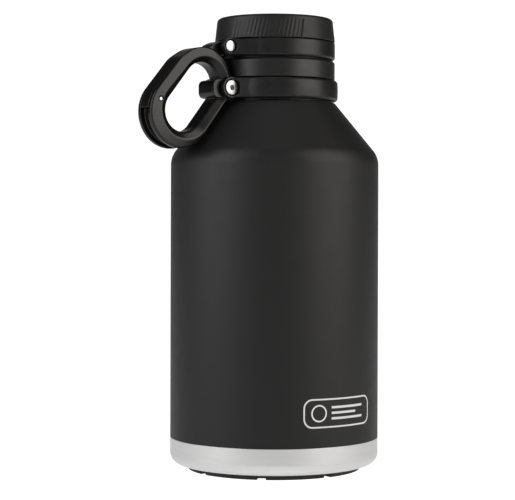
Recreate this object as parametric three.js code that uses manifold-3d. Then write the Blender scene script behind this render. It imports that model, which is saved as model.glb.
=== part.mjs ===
// Vacuum-insulated growler: double-wall steel flask, screw cap and a carrying loop held by two neck bands.
// Millimetres, +Z up. The origin is the centre of the foot pad's underside. The loop points along -X.

import * as THREE from 'three';
import { mergeVertices } from 'three/addons/utils/BufferGeometryUtils.js';
import Module from 'manifold-3d';

const wasm = await Module();
wasm.setup();

// ---------------------------------------------------------------- driving dimensions

const GAP = 0.3; // clearance between pieces that touch
const ROUND = 48; // facets round the large outer pieces
const INNER_ROUND = 36; // facets round the hidden pieces
const SMALL_ROUND = 20; // facets round pins and screws

const bodyRadius = 61;
const shellWall = 0.8;
const shoulderLean = THREE.MathUtils.degToRad(39.3); // shoulder's angle from the vertical
const shoulderFillet = 14;
const shoulderTopRadius = 35.3;
const ledgeZ = 213.9; // flat ledge at the top of the shoulder
const weldZ = 18.7; // joint between the painted shell and the bare base cup

const baseRounding = 11.5;
const baseFlatRadius = bodyRadius - baseRounding;
const baseBottomZ = 2.4;
const recessRadius = 47.6; // recess under the base cup that holds the foot pad
const recessZ = 5.0;

const padRadius = 51.4;
const padFootRadius = 49; // the pad's edge slopes in towards the ground
const padEdgeHeight = 2.2;
const padNotches = 8;
const padNotchWidth = 4.6;
const padNotchDepth = 3.5;
const padNotchHeight = 1.1;
const padPocket = { radius: 7, z: 2.8 }; // hollow in the pad's top for the sealing disc

const flaskRadius = 57.4;
const flaskWall = 1.0;
const flaskBottomZ = 10.5;
const flaskShoulderDrop = 3.5; // how much lower the flask's shoulder starts than an even gap would put it
const neckRadius = 28.0; // clear radius of the mouth
const lipZ = 247.7;
const lipHeight = 1.2;

const outerNeckRadius = 30.2;
const collarInner = 30.6;
const grooveRadius = 31.9; // floor of the two grooves that the bands sit in
const flangeRadius = 35.2;
const flangeBottomZ = 227.4;
const flangeTopZ = 238.5;
const collarLipRadius = 33.2;
const collarLipZ = 247.3;
const collarTopZ = 249.1;

const bandBore = 32.2;
// Each band's pin is at pinU from the flask's axis and at height pinZ.
const lowerBand = { bottom: 214.9, top: 227, radius: 37.1, pinU: 38.8, pinZ: 221, ear: 6.1, farEar: 6.1 };
const upperBand = { bottom: 239.2, top: 249.2, radius: 35.3, pinU: 39.8, pinZ: 244.7, ear: 4.6, farEar: 3.2 };
const earInner = 7.9; // half the gap between a band's two ears
const earOuter = 11.0;

const capBottomZ = 249.7;
const capTopZ = 263.3;
const capBottomRadius = 35.3;
const capTopRadius = 34.1;
const capEdge = 2.2; // rounding of the cap's top edge
const discRadius = 27.5; // inlay in the top of the cap
const discDepth = 1.2;
const plugRadius = 26.2;
const plugBottomZ = 226.1;

const threadPitch = 5;
const threadTurns = 1.5;
const threadHeight = 1.3;
const threadFoot = 2.0; // axial width at the root
const threadCrest = 1.2; // axial width at the crest
const threadStartZ = 230.6;

// The loop's outlines are circles [u, z, radius] and their common tangents.
// u is the distance from the flask's axis.
// The section runs from the outer edge over a flat side face and a broad chamfer to the hole.
const loopOuter = { top: [55.2, 224.7, 18.8], crown: [58.2, 222, 19.5], low: [70.6, 206.1, 20.4], half: 7 };
const loopFace = { top: [54.3, 222.3, 16], low: [67.2, 207.5, 16.7], half: 7.6 };
const loopHole = { top: [55, 223.2, 11.8], low: [68.2, 207, 11.9], half: 5.2 };
const loopArcSteps = 14;
// The hub round the lower pin is a rounded block, sized from the pin's centre.
const hub = { inner: 4.4, outer: 10.6, below: 5.9, above: 4.6, rounding: 4 };
const hubHalf = 7.6;
const lugRadius = 3.6;
const lugHalf = 5.2;
const channelHalf = 4.1;
const channelDepth = 3.0;
const insertEndZ = 208.2; // lower end of the grip insert
const gripPin = { u: 84.5, z: 212.9, radius: 1.1, half: 7.3 };

// ---------------------------------------------------------------- materials

const steel = { color: 0xc6c6c8, roughness: 0.3, metalness: 1 };
const painted = { color: 0x26262a, roughness: 0.55, metalness: 0.1 };
const blackPlastic = { color: 0x17171a, roughness: 0.4, metalness: 0 };
const glossPlastic = { color: 0x121214, roughness: 0.25, metalness: 0 };
const pinSteel = { color: 0xdcdcde, roughness: 0.15, metalness: 1 };
const rubber = { color: 0x141414, roughness: 0.85, metalness: 0 };
const silicone = { color: 0xd8d8d4, roughness: 0.6, metalness: 0 };
const foamWhite = { color: 0xe8e6de, roughness: 0.95, metalness: 0 };
const innerPlastic = { color: 0x2a2a2c, roughness: 0.5, metalness: 0 };

// ---------------------------------------------------------------- solids and booleans

function solid(geometry) {
  const bare = geometry.clone();
  bare.deleteAttribute('normal');
  bare.deleteAttribute('uv');
  const merged = mergeVertices(bare, 1e-4);
  const index = merged.index.array;
  const kept = [];
  for (let i = 0; i < index.length; i += 3) {
    const [a, b, c] = [index[i], index[i + 1], index[i + 2]];
    if (a !== b && b !== c && c !== a) kept.push(a, b, c);
  }
  const vertProperties = new Float32Array(merged.attributes.position.array);
  const triVerts = new Uint32Array(kept);
  return new wasm.Manifold(new wasm.Mesh({ numProp: 3, vertProperties, triVerts }));
}

function toGeometry(body) {
  const mesh = body.getMesh();
  const geometry = new THREE.BufferGeometry();
  geometry.setAttribute('position', new THREE.BufferAttribute(new Float32Array(mesh.vertProperties), 3));
  geometry.setIndex(new THREE.BufferAttribute(new Uint32Array(mesh.triVerts), 1));
  geometry.computeVertexNormals();
  return geometry;
}

const cut = (body, ...tools) => tools.reduce((left, tool) => left.subtract(tool), body);
const join = (body, ...others) => others.reduce((left, other) => left.add(other), body);

const pt = (r, z) => new THREE.Vector2(r, z);

// Points on an arc in the profile plane, angles in degrees from the +r direction.
function arc(r, z, radius, from, to, steps) {
  const points = [];
  for (let i = 0; i <= steps; i++) {
    const angle = THREE.MathUtils.degToRad(from + ((to - from) * i) / steps);
    points.push(pt(r + radius * Math.cos(angle), z + radius * Math.sin(angle)));
  }
  return points;
}

// A solid of revolution about Z from a closed profile of (radius, height) points.
function turned(profile, facets = ROUND) {
  const points = THREE.ShapeUtils.area(profile) < 0 ? [...profile].reverse() : [...profile];
  points.push(points[0].clone());
  return solid(new THREE.LatheGeometry(points, facets).rotateX(Math.PI / 2));
}

const disc = (radius, low, high, facets = ROUND) =>
  turned([pt(0, low), pt(radius, low), pt(radius, high), pt(0, high)], facets);

const ring = (inner, outer, low, high, facets = ROUND) =>
  turned([pt(inner, low), pt(outer, low), pt(outer, high), pt(inner, high)], facets);

// Turns (u, z, y) into the flask's frame, where the loop points along -X.
const loopFrame = new THREE.Matrix4().set(-1, 0, 0, 0, 0, 0, 1, 0, 0, 1, 0, 0, 0, 0, 0, 1);

// A plate in the loop's plane, from y = low to y = high.
function plate(shape, low, high) {
  const depth = high - low;
  const geometry = new THREE.ExtrudeGeometry(shape, { depth, bevelEnabled: false, curveSegments: 10 });
  return solid(geometry.translate(0, 0, low).applyMatrix4(loopFrame));
}

// A round bar along Y at (u, z), from y = low to y = high.
function bar(u, z, radius, low, high, facets = SMALL_ROUND) {
  const geometry = new THREE.CylinderGeometry(radius, radius, high - low, facets);
  return solid(geometry.translate(-u, (low + high) / 2, z));
}

function block(uLow, uHigh, yLow, yHigh, zLow, zHigh) {
  const geometry = new THREE.BoxGeometry(uHigh - uLow, yHigh - yLow, zHigh - zLow);
  return solid(geometry.translate(-(uLow + uHigh) / 2, (yLow + yHigh) / 2, (zLow + zHigh) / 2));
}

// One turn and a half of thread: a long bar bent round Z along a helix, from radius root to root + height.
function thread(root, height, startZ) {
  const steps = 54;
  const reach = Math.abs(height);
  const geometry = new THREE.BoxGeometry(1, 1, 1, steps, 1, 1);
  const position = geometry.attributes.position;
  for (let i = 0; i < position.count; i++) {
    const along = position.getX(i) + 0.5;
    const outward = position.getY(i) + 0.5;
    const side = position.getZ(i);
    const fade = Math.min(1, along * 12, (1 - along) * 12);
    const atCrest = height > 0 ? outward : 1 - outward;
    const width = THREE.MathUtils.lerp(threadFoot, threadCrest, atCrest);
    const rise = 0.2 + (reach - 0.2) * fade;
    const sink = 0.4;
    const radius = root + Math.sign(height) * (atCrest * (rise + sink) - sink);
    const angle = along * threadTurns * 2 * Math.PI;
    const z = startZ + along * threadTurns * threadPitch - side * width;
    position.setXYZ(i, radius * Math.cos(angle), radius * Math.sin(angle), z);
  }
  return solid(geometry);
}

// ---------------------------------------------------------------- flask

const shoulderSlope = 1 / Math.tan(shoulderLean);
const filletReach = shoulderFillet * Math.tan(shoulderLean / 2);

// The outside of body and shoulder, from lowZ up to the ledge, moved inwards by inset, ended at endRadius.
function bodyOutline(inset, lowZ, endRadius, endZ, radius = bodyRadius) {
  const wall = radius - inset;
  const sharpZ = ledgeZ - (radius - shoulderTopRadius) * shoulderSlope;
  const tangentZ = sharpZ - filletReach - inset * Math.tan(shoulderLean / 2);
  const bend = Math.max(shoulderFillet - inset, 4);
  const lean = THREE.MathUtils.radToDeg(shoulderLean);
  const corner = arc(wall - bend, tangentZ, bend, 0, lean, 4);
  const last = corner[corner.length - 1];
  const meet = pt(endRadius, last.y + (last.x - endRadius) * shoulderSlope);
  const end = meet.y > endZ ? pt(last.x - (endZ - last.y) / shoulderSlope, endZ) : meet;
  return [pt(wall, lowZ), ...corner, end];
}

function outerShell() {
  const outside = bodyOutline(0, weldZ + GAP / 2, shoulderTopRadius, ledgeZ);
  const inside = bodyOutline(shellWall, weldZ + GAP / 2, shoulderTopRadius, ledgeZ - shellWall);
  const ledgeInner = outerNeckRadius - shellWall;
  return turned([
    ...outside,
    pt(ledgeInner, ledgeZ),
    pt(ledgeInner, ledgeZ - shellWall),
    ...inside.reverse(),
  ]);
}

// Outer tube of the double neck, standing on the ledge.
const neckSleeve = () =>
  ring(outerNeckRadius - shellWall, outerNeckRadius, ledgeZ + GAP, lipZ - lipHeight - GAP);

function baseCup() {
  const centreZ = baseBottomZ + baseRounding;
  const top = weldZ - GAP / 2;
  return turned([
    pt(bodyRadius, top),
    ...arc(baseFlatRadius, centreZ, baseRounding, 0, -90, 5),
    pt(recessRadius + shellWall, baseBottomZ),
    pt(recessRadius, baseBottomZ),
    pt(recessRadius, recessZ),
    pt(3, recessZ),
    pt(3, recessZ + shellWall),
    pt(recessRadius + shellWall, recessZ + shellWall),
    pt(recessRadius + shellWall, baseBottomZ + shellWall),
    ...arc(baseFlatRadius, centreZ, baseRounding - shellWall, -90, 0, 5),
    pt(bodyRadius - shellWall, top),
  ]);
}

const flaskCornerRadius = 14;
const flaskNeckOuter = neckRadius + flaskWall;
const flaskSide = bodyOutline(bodyRadius - flaskRadius, flaskBottomZ + flaskCornerRadius, 0, 300)
  .slice(1, -1)
  .map((p) => pt(p.x, p.y - flaskShoulderDrop));
const flaskCorner = flaskSide[flaskSide.length - 1];
const neckFootZ = flaskCorner.y + (flaskCorner.x - flaskNeckOuter) * shoulderSlope;

function innerFlask() {
  const bend = flaskRadius - flaskCornerRadius;
  const bendZ = flaskBottomZ + flaskCornerRadius;
  const drop = flaskWall * Math.tan(shoulderLean / 2);
  const inside = flaskSide.map((p) => pt(p.x - flaskWall * 0.95, p.y - drop)).reverse();
  return turned(
    [
      pt(0, flaskBottomZ),
      ...arc(bend, bendZ, flaskCornerRadius, -90, 0, 5),
      ...flaskSide,
      pt(flaskNeckOuter, neckFootZ),
      pt(neckRadius, neckFootZ),
      pt(neckRadius, neckFootZ - 0.6),
      ...inside,
      ...arc(bend, bendZ, flaskCornerRadius - flaskWall, 0, -90, 5),
      pt(0, flaskBottomZ + flaskWall),
    ],
    INNER_ROUND,
  );
}

// Inner tube of the double neck: the mouth with its internal thread and the rolled lip.
function threadedNeck() {
  const tube = turned(
    [
      pt(neckRadius, neckFootZ + GAP),
      pt(flaskNeckOuter, neckFootZ + GAP),
      pt(flaskNeckOuter, lipZ - lipHeight),
      pt(outerNeckRadius, lipZ - lipHeight),
      pt(outerNeckRadius, lipZ),
      pt(neckRadius, lipZ),
    ],
    INNER_ROUND,
  );
  return join(tube, thread(neckRadius, -threadHeight, threadStartZ));
}

function footPad() {
  const body = turned(
    [
      pt(0, 0),
      pt(padFootRadius, 0),
      pt(padRadius - 0.3, 1.6),
      pt(padRadius, padEdgeHeight - 0.2),
      pt(recessRadius - GAP, padEdgeHeight - 0.2),
      pt(recessRadius - GAP, recessZ - GAP),
      pt(padPocket.radius, recessZ - GAP),
      pt(padPocket.radius, padPocket.z),
      pt(0, padPocket.z),
    ],
    ROUND,
  );
  const notches = [];
  for (let i = 0; i < padNotches; i++) {
    const notch = new THREE.BoxGeometry(padNotchDepth * 2, padNotchWidth, padNotchHeight * 2);
    notch.translate(padRadius, 0, 0).rotateZ((i * 2 * Math.PI) / padNotches);
    notches.push(solid(notch));
  }
  return cut(body, ...notches);
}

// Disc pressed and brazed over the hole that the space between the walls is pumped out through.
const sealingDisc = () =>
  turned([pt(0, 3.4), pt(5.6, 3.4), pt(5.6, 4.2), pt(2.6, 4.7), pt(2.6, 6.6), pt(0, 6.6)], 24);

// Gas-absorbing pellet in its clip under the inner flask.
const getterPellet = () => disc(6, flaskBottomZ - 2.8, flaskBottomZ - GAP, 24);

// ---------------------------------------------------------------- neck collar and bands

function neckCollar() {
  return turned([
    pt(collarInner, ledgeZ + GAP),
    pt(grooveRadius, ledgeZ + GAP),
    pt(grooveRadius, flangeBottomZ),
    pt(flangeRadius - 0.4, flangeBottomZ),
    pt(flangeRadius, flangeBottomZ + 0.4),
    pt(flangeRadius, flangeTopZ - 1.2),
    pt(flangeRadius - 1.2, flangeTopZ),
    pt(grooveRadius, flangeTopZ),
    pt(grooveRadius, collarLipZ),
    pt(collarLipRadius, collarLipZ + 0.6),
    pt(collarLipRadius, collarTopZ - 0.4),
    pt(collarLipRadius - 0.4, collarTopZ),
    pt(collarInner, collarTopZ),
  ]);
}

// A band's ear seen from the side: square towards the band and round about its pin.
function earShape(u, z, radius) {
  const shape = new THREE.Shape();
  shape.moveTo(bandBore - 2.5, z - radius);
  shape.lineTo(u, z - radius);
  shape.absarc(u, z, radius, -Math.PI / 2, Math.PI / 2, false);
  shape.lineTo(bandBore - 2.5, z + radius);
  shape.closePath();
  return shape;
}

// An open ring with two ears. The near side is -Y, where the pin's head sits in a counterbore.
function band(size, hoop, boreRadius, headRadius, headDepth) {
  const nearEar = plate(earShape(size.pinU, size.pinZ, size.ear), -earOuter, -earInner);
  const farEar = plate(earShape(size.pinU, size.pinZ, size.farEar), earInner, earOuter);
  const opening = block(bandBore - 10, size.pinU + 12, -earInner, earInner, size.bottom - 1, size.top + 1);
  const inside = disc(bandBore, size.bottom - 1, size.top + 1);
  return cut(
    join(hoop, nearEar, farEar),
    opening,
    inside,
    bar(size.pinU, size.pinZ, boreRadius, -earOuter - 1, earOuter + 1),
    bar(size.pinU, size.pinZ, headRadius + GAP, -earOuter - 1, -earOuter + headDepth),
    bar(size.pinU, size.pinZ, headRadius + GAP, earOuter, earOuter + 3),
  );
}

function lowerBandSolid() {
  const { bottom, top, radius } = lowerBand;
  const bulge = 1.1;
  const hoop = turned([
    pt(bandBore, bottom),
    pt(radius - bulge, bottom),
    pt(radius - 0.3, bottom + bulge),
    pt(radius, (bottom + top) / 2),
    pt(radius - 0.3, top - bulge),
    pt(radius - bulge, top),
    pt(bandBore, top),
  ]);
  return band(lowerBand, hoop, nut.sleeve + GAP, screwHead, headSeat);
}

function upperBandSolid() {
  const { bottom, top, radius } = upperBand;
  const hoop = turned([
    pt(bandBore, bottom),
    pt(radius - 0.8, bottom),
    pt(radius, bottom + 0.8),
    pt(radius, top - 0.4),
    pt(radius - 0.4, top),
    pt(bandBore, top),
  ]);
  const lipSeat = disc(collarLipRadius + GAP, collarLipZ - GAP, top + 1);
  return cut(band(upperBand, hoop, rivet.radius + GAP, rivet.head, headSeat), lipSeat);
}

// ---------------------------------------------------------------- pins and screws

const headSeat = 1.2; // depth of the counterbores
const screwHead = 4.15;
const nut = { sleeve: 3.0, bore: 2.2, head: 4.15 };
const rivet = { radius: 1.8, head: 3.1 };

// A domed head along Y: its flat underside at y = seat, bulging towards -Y by rise.
function domedHead(u, z, radius, seat, thick, rise) {
  const profile = [pt(0, 0), pt(radius, 0), pt(radius, thick), ...domeArc(radius, thick, rise)];
  const points = THREE.ShapeUtils.area(profile) < 0 ? [...profile].reverse() : profile;
  const geometry = new THREE.LatheGeometry([...points, points[0].clone()], SMALL_ROUND);
  return solid(geometry.rotateX(Math.PI).translate(-u, seat, z));
}

function domeArc(radius, thick, rise) {
  const points = [];
  for (let i = 1; i <= 4; i++) {
    const angle = (i * Math.PI) / 8;
    points.push(pt(i === 4 ? 0 : radius * Math.cos(angle), thick + rise * Math.sin(angle)));
  }
  return points;
}

function handleScrew() {
  const seat = -earOuter + headSeat;
  const { pinU, pinZ } = lowerBand;
  const head = domedHead(pinU, pinZ, screwHead, seat, 0.9, 0.8);
  const shank = bar(pinU, pinZ, nut.bore - GAP, seat - 0.1, 4);
  const socket = bar(pinU, pinZ, 1.25, seat - 4, seat - 0.4, 6);
  return cut(join(head, shank), socket);
}

function handleNut() {
  const { pinU, pinZ } = lowerBand;
  const sleeve = bar(pinU, pinZ, nut.sleeve, -earOuter + headSeat + GAP, earOuter + GAP + 0.5);
  const flange = bar(pinU, pinZ, nut.head, earOuter + GAP, earOuter + 1.4);
  const bore = bar(pinU, pinZ, nut.bore, -earOuter, 7);
  return cut(join(sleeve, flange), bore);
}

function upperRivet() {
  const seat = -earOuter + headSeat;
  const { pinU, pinZ } = upperBand;
  const head = domedHead(pinU, pinZ, rivet.head, seat, 1.1, 0.35);
  return join(head, bar(pinU, pinZ, rivet.radius, seat - 0.1, earOuter + 0.9));
}

// Spring ring pressed over the rivet's far end.
function rivetCollar() {
  const { pinU, pinZ } = upperBand;
  const outer = bar(pinU, pinZ, 3.0, earOuter + GAP, earOuter + 1.2);
  return cut(outer, bar(pinU, pinZ, rivet.radius + GAP, earOuter - 1, earOuter + 3));
}

const gripPinSolid = () => bar(gripPin.u, gripPin.z, gripPin.radius, -gripPin.half, gripPin.half, 16);

// ---------------------------------------------------------------- carrying loop

// Direction of the outward normal where a straight side leaves two circles, on the left (+1) or right (-1).
function tangentAngle([fromU, fromZ, fromR], [toU, toZ, toR], side) {
  const axis = Math.atan2(toZ - fromZ, toU - fromU);
  return axis + side * Math.acos((fromR - toR) / Math.hypot(toU - fromU, toZ - fromZ));
}

// The outermost point in the given direction of several circles.
function furthestPoint(circles, angle, grow) {
  const cos = Math.cos(angle);
  const sin = Math.sin(angle);
  const reach = ([u, z, radius]) => u * cos + z * sin + radius;
  const [u, z, radius] = circles.reduce((best, circle) => (reach(circle) > reach(best) ? circle : best));
  return pt(u + (radius + grow) * cos, z + (radius + grow) * sin);
}

// Points round an outline, over the low circle and back over the crown and top: as many on every outline.
function outlinePoints({ top, low, crown = top }, grow = 0) {
  const right = tangentAngle(top, low, -1);
  const left = tangentAngle(crown, low, 1);
  const points = [];
  for (let i = 0; i <= loopArcSteps; i++) {
    points.push(furthestPoint([low], right + ((left - right) * i) / loopArcSteps, grow));
  }
  for (let i = 0; i <= loopArcSteps; i++) {
    points.push(furthestPoint([top, crown], left + ((right + 2 * Math.PI - left) * i) / loopArcSteps, grow));
  }
  return points;
}

// The closed bar of the loop: a six-sided section carried round the three outlines.
function loopBar() {
  const outlines = [loopOuter, loopFace, loopHole, loopHole, loopFace, loopOuter];
  const sides = [1, 1, 1, -1, -1, -1];
  const rails = outlines.map((outline) => outlinePoints(outline));
  const stations = rails[0].length;
  const geometry = new THREE.TorusGeometry(10, 2, outlines.length, stations);
  const position = geometry.attributes.position;
  for (let j = 0; j <= outlines.length; j++) {
    for (let i = 0; i <= stations; i++) {
      const rail = j % outlines.length;
      const point = rails[rail][i % stations];
      position.setXYZ(j * (stations + 1) + i, -point.x, sides[rail] * outlines[rail].half, point.y);
    }
  }
  return solid(geometry);
}

// The strip just inside the outer outline between two of its points, which the channel and the insert share.
function rimStrip(first, last, outside, inside) {
  const outer = outlinePoints(loopOuter, outside).slice(first, last + 1);
  const inner = outlinePoints(loopOuter, -inside).slice(first, last + 1);
  return new THREE.Shape([...outer, ...inner.reverse()]);
}

// Point numbers on the outline: the channel starts at the lower right and ends at the top of the loop.
const channelFirst = 3;
const channelLast = loopArcSteps + 6;

function channelSolid(half, outside, inside) {
  return plate(rimStrip(channelFirst, channelLast, outside, inside), -half, half);
}

function hubSolid() {
  const { pinU, pinZ } = lowerBand;
  const [end, bottom, top] = [pinU + hub.outer, pinZ - hub.below, pinZ + hub.above];
  const shape = new THREE.Shape();
  shape.moveTo(pinU - hub.inner, bottom);
  shape.lineTo(end - hub.rounding, bottom);
  shape.quadraticCurveTo(end, bottom, end, bottom + hub.rounding);
  shape.lineTo(end, top - hub.rounding);
  shape.quadraticCurveTo(end, top, end - hub.rounding, top);
  shape.lineTo(pinU - hub.inner, top);
  return plate(shape, -hubHalf, hubHalf);
}

function loopFrameSolid() {
  const { pinU, pinZ } = lowerBand;
  const lugPin = pt(upperBand.pinU, upperBand.pinZ);
  const lugShape = new THREE.Shape([
    pt(lugPin.x - lugRadius * 0.2, lugPin.y + lugRadius),
    pt(lugPin.x - lugRadius, lugPin.y),
    pt(lugPin.x - lugRadius * 0.4, lugPin.y - lugRadius * 0.9),
    pt(lugPin.x + 5, lugPin.y - 9),
    pt(lugPin.x + 14, lugPin.y - 4),
    pt(lugPin.x + 8, lugPin.y + 1),
    pt(lugPin.x + 3.4, lugPin.y + lugRadius * 0.8),
  ]);
  const lug = plate(lugShape, -lugHalf, lugHalf);
  const earRoom = [-1, 1].map((side) => {
    const [low, high] = side < 0 ? [-12, -hubHalf] : [hubHalf, 12];
    return bar(pinU, pinZ, lowerBand.ear + 1.3, low, high, 32);
  });
  return cut(
    join(loopBar(), hubSolid(), lug),
    ...earRoom,
    disc(bandBore, lowerBand.bottom, lowerBand.top),
    channelSolid(channelHalf, 1, channelDepth),
    bar(pinU, pinZ, nut.sleeve + GAP, -12, 12),
    bar(upperBand.pinU, upperBand.pinZ, rivet.radius + GAP, -12, 12),
    bar(gripPin.u, gripPin.z, gripPin.radius + GAP, -12, 12, 16),
  );
}

function gripInsert() {
  const strip = channelSolid(channelHalf - GAP, 0, channelDepth - GAP);
  const below = block(60, 110, -12, 12, 180, insertEndZ);
  const beside = block(30, 72, -12, 12, 180, 212);
  const pinHole = bar(gripPin.u, gripPin.z, gripPin.radius + GAP, -12, 12, 16);
  return cut(strip, below, beside, pinHole);
}

// ---------------------------------------------------------------- cap

function capKnob() {
  const lean = capBottomRadius - capTopRadius;
  const edgeZ = capTopZ - capEdge;
  return turned([
    pt(31.6, capBottomZ),
    pt(capBottomRadius - 0.3, capBottomZ),
    pt(capBottomRadius, capBottomZ + 0.3),
    ...arc(capBottomRadius - lean - capEdge, edgeZ, capEdge, 0, 90, 4),
    pt(discRadius + GAP, capTopZ),
    pt(discRadius + GAP, capTopZ - discDepth - GAP),
    pt(0, capTopZ - discDepth - GAP),
    pt(0, capTopZ - 3.6),
    pt(31.6, capTopZ - 3.6),
  ]);
}

const capDisc = () =>
  turned([
    pt(0, capTopZ - discDepth),
    pt(discRadius, capTopZ - discDepth),
    pt(discRadius, capTopZ - 0.6),
    pt(discRadius - 0.4, capTopZ - 0.2),
    pt(0, capTopZ - 0.2),
  ]);

function capPlug() {
  const flangeBottom = capBottomZ + 0.4;
  const top = capTopZ - 3.6 - GAP;
  const shell = turned(
    [
      pt(0, plugBottomZ),
      pt(plugRadius - 2, plugBottomZ),
      pt(plugRadius, plugBottomZ + 2),
      pt(plugRadius, flangeBottom),
      pt(31.2, flangeBottom),
      pt(31.2, top),
      pt(plugRadius - 2, top),
      pt(plugRadius - 2, plugBottomZ + 2.5),
      pt(0, plugBottomZ + 2.5),
    ],
    INNER_ROUND,
  );
  return join(shell, thread(plugRadius, threadHeight, threadStartZ + threadPitch / 2));
}

const capFoam = () =>
  disc(plugRadius - 2 - GAP, plugBottomZ + 2.5 + GAP, capTopZ - 3.6 - 2 * GAP, INNER_ROUND);

const capGasket = () => ring(plugRadius + GAP, 30.0, lipZ + GAP, capBottomZ + 0.4 - GAP, INNER_ROUND);

// ---------------------------------------------------------------- assembly

const growler = new THREE.Group();

function place(name, body, look, parent) {
  const mesh = new THREE.Mesh(toGeometry(body), new THREE.MeshStandardMaterial(look));
  mesh.name = name;
  parent.add(mesh);
}

const flask = new THREE.Group();
const carrier = new THREE.Group();
const cap = new THREE.Group();
growler.add(flask, carrier, cap);

place('outer_shell', outerShell(), painted, flask);
place('neck_sleeve', neckSleeve(), steel, flask);
place('base_cup', baseCup(), steel, flask);
place('inner_flask', innerFlask(), steel, flask);
place('threaded_neck', threadedNeck(), steel, flask);
place('getter_pellet', getterPellet(), steel, flask);
place('sealing_disc', sealingDisc(), steel, flask);
place('foot_pad', footPad(), rubber, flask);
place('neck_collar', neckCollar(), blackPlastic, flask);

place('upper_band', upperBandSolid(), blackPlastic, carrier);
place('lower_band', lowerBandSolid(), blackPlastic, carrier);
place('upper_rivet', upperRivet(), pinSteel, carrier);
place('rivet_collar', rivetCollar(), pinSteel, carrier);
place('handle_screw', handleScrew(), pinSteel, carrier);
place('handle_nut', handleNut(), pinSteel, carrier);
place('carry_loop', loopFrameSolid(), glossPlastic, carrier);
place('grip_insert', gripInsert(), glossPlastic, carrier);
place('grip_pin', gripPinSolid(), pinSteel, carrier);

place('cap_knob', capKnob(), blackPlastic, cap);
place('cap_disc', capDisc(), blackPlastic, cap);
place('cap_plug', capPlug(), innerPlastic, cap);
place('cap_foam', capFoam(), foamWhite, cap);
place('cap_gasket', capGasket(), silicone, cap);

export default growler;
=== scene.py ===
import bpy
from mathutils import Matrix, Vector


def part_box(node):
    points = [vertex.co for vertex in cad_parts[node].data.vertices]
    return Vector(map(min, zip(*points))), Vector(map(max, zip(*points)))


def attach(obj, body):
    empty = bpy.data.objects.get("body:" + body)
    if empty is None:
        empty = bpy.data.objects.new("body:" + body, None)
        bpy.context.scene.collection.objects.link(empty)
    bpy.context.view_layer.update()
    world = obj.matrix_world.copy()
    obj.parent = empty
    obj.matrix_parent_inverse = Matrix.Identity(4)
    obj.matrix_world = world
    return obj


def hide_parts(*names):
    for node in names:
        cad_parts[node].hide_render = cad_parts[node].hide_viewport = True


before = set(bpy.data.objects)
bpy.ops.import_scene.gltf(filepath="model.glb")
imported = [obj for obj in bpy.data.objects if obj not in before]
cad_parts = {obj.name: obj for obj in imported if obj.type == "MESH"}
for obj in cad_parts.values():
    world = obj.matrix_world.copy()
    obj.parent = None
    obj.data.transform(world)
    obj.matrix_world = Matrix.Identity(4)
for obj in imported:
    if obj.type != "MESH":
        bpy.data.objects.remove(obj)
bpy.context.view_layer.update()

import math

import bmesh
import bpy
from mathutils import Matrix, Quaternion, Vector

MM = 0.001
CLEARANCE = 0.3  # between neighbouring pieces, in millimetres

# ---------------------------------------------------------------- sizes that the frame gives (mm)


def low(node):
    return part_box(node)[0] / MM


def high(node):
    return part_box(node)[1] / MM


def middle(node):
    return (low(node) + high(node)) / 2


BODY_RADIUS = high("outer_shell").x
LEDGE_Z = high("outer_shell").z
WELD_Z = low("outer_shell").z - CLEARANCE / 2
PAD_RADIUS = high("foot_pad").x
COLLAR_LOW, COLLAR_HIGH = low("neck_collar").z, high("neck_collar").z
KNOB_LOW, KNOB_HIGH = low("cap_knob").z, high("cap_knob").z
KNOB_RADIUS = high("cap_knob").x
SCREW_U, SCREW_Z = -middle("handle_screw").x, middle("handle_screw").z
RIVET_U, RIVET_Z = -middle("upper_rivet").x, middle("upper_rivet").z
GRIP_PIN_U, GRIP_PIN_Z = -middle("grip_pin").x, middle("grip_pin").z
BAND_GAP = 0.7  # between the collar's flange and the upper band
FLANGE_LOW, FLANGE_HIGH = high("lower_band").z + CLEARANCE, low("upper_band").z - BAND_GAP

# ---------------------------------------------------------------- sizes of the details (mm)

SHELL_WALL = 0.8
PAINT_GAP = 0.04  # the hairline between the paint and the bare steel
SHOULDER_LEAN = math.radians(39.3)  # from the vertical
SHOULDER_FILLET = 14.0
SHOULDER_TOP_RADIUS = 35.3
SHOULDER_EDGE = 0.8
LEDGE_INNER = 29.4

BASE_LIFT = 0.7  # above the lowest point of base_cup, so that more of the pad's edge is seen
BASE_ROUNDING = 11.5
RECESS_RADIUS = 47.6
RECESS_Z = 5.0
PUMP_HOLE_RADIUS = 3.0
PAD_FOOT_RADIUS = 50.4
PAD_EDGE_Z = 2.7
PAD_POCKET = {"radius": 7.0, "z": 2.8}  # room for the sealing disc
PAD_NOTCH = {"count": 8, "half_width": 2.6, "depth": 7.5, "height": 1.4}

GROOVE_RADIUS = 31.9
FLANGE_RADIUS = 35.2
COLLAR_INNER = 30.6
FLANGE_CHAMFER = 1.2
COLLAR_LIP_RADIUS = 33.2
COLLAR_LIP_HEIGHT, COLLAR_LIP_ROOT = 1.2, 1.8

BAND_BORE = 32.2
EAR_INNER, EAR_OUTER = 7.9, 11.0
LOWER_BAND = {"node": "lower_band", "radius": 37.1, "u": SCREW_U, "z": SCREW_Z, "ear": 6.1, "far_ear": 6.1}
UPPER_BAND = {"node": "upper_band", "radius": 35.3, "u": RIVET_U, "z": RIVET_Z, "ear": 4.6, "far_ear": 3.2}
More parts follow.
